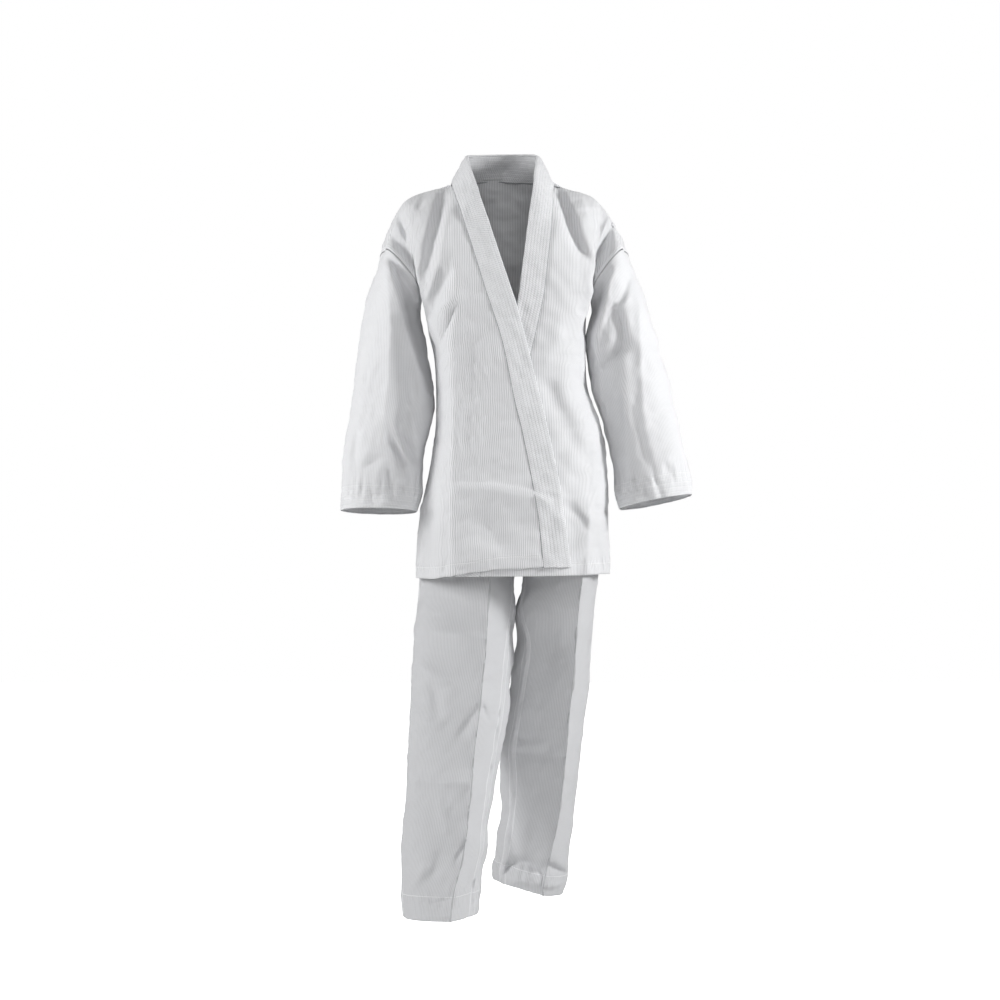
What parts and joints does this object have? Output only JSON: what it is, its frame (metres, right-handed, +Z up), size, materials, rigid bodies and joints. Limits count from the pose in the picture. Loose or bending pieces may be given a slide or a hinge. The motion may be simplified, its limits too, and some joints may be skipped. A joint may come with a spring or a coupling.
{
  "type": "karate gi",
  "caption": "White martial arts suit: a wrapped jacket with a long stitched collar band and wide sleeves, over straight trousers, in hollow worn form.",
  "frame": {"origin": "between the wearer's shoulders, at the height where the collar band leaves the shoulder seams", "axes": "+X to the wearer's left, +Y to the wearer's back, +Z up; the front of the jacket faces -Y"},
  "size_m": [0.591, 0.416, 1.292],
  "materials": {
    "jacket_back": "matt white polycotton with fine vertical ribs",
    "front_right": "matt white polycotton with fine vertical ribs",
    "front_left": "matt white polycotton with fine vertical ribs",
    "sleeve_right": "matt white polycotton with fine ribs along the arm",
    "sleeve_left": "matt white polycotton with fine ribs along the arm",
    "collar_band": "matt white polycotton, several layers with rows of white stitching",
    "trousers": "matt white polycotton with a fine close weave",
    "waistband": "matt white polycotton, folded double"
  },
  "bodies": {
    "root": {"jacket_back": "jacket_back", "jacket_front_right": "front_right", "jacket_front_left": "front_left", "sleeve_right": "sleeve_right", "sleeve_left": "sleeve_left", "collar_band": "collar_band", "trouser_front_right": "trousers", "trouser_back_right": "trousers", "trouser_front_left": "trousers", "trouser_back_left": "trousers", "waistband": "waistband"}
  },
  "joints": []
}
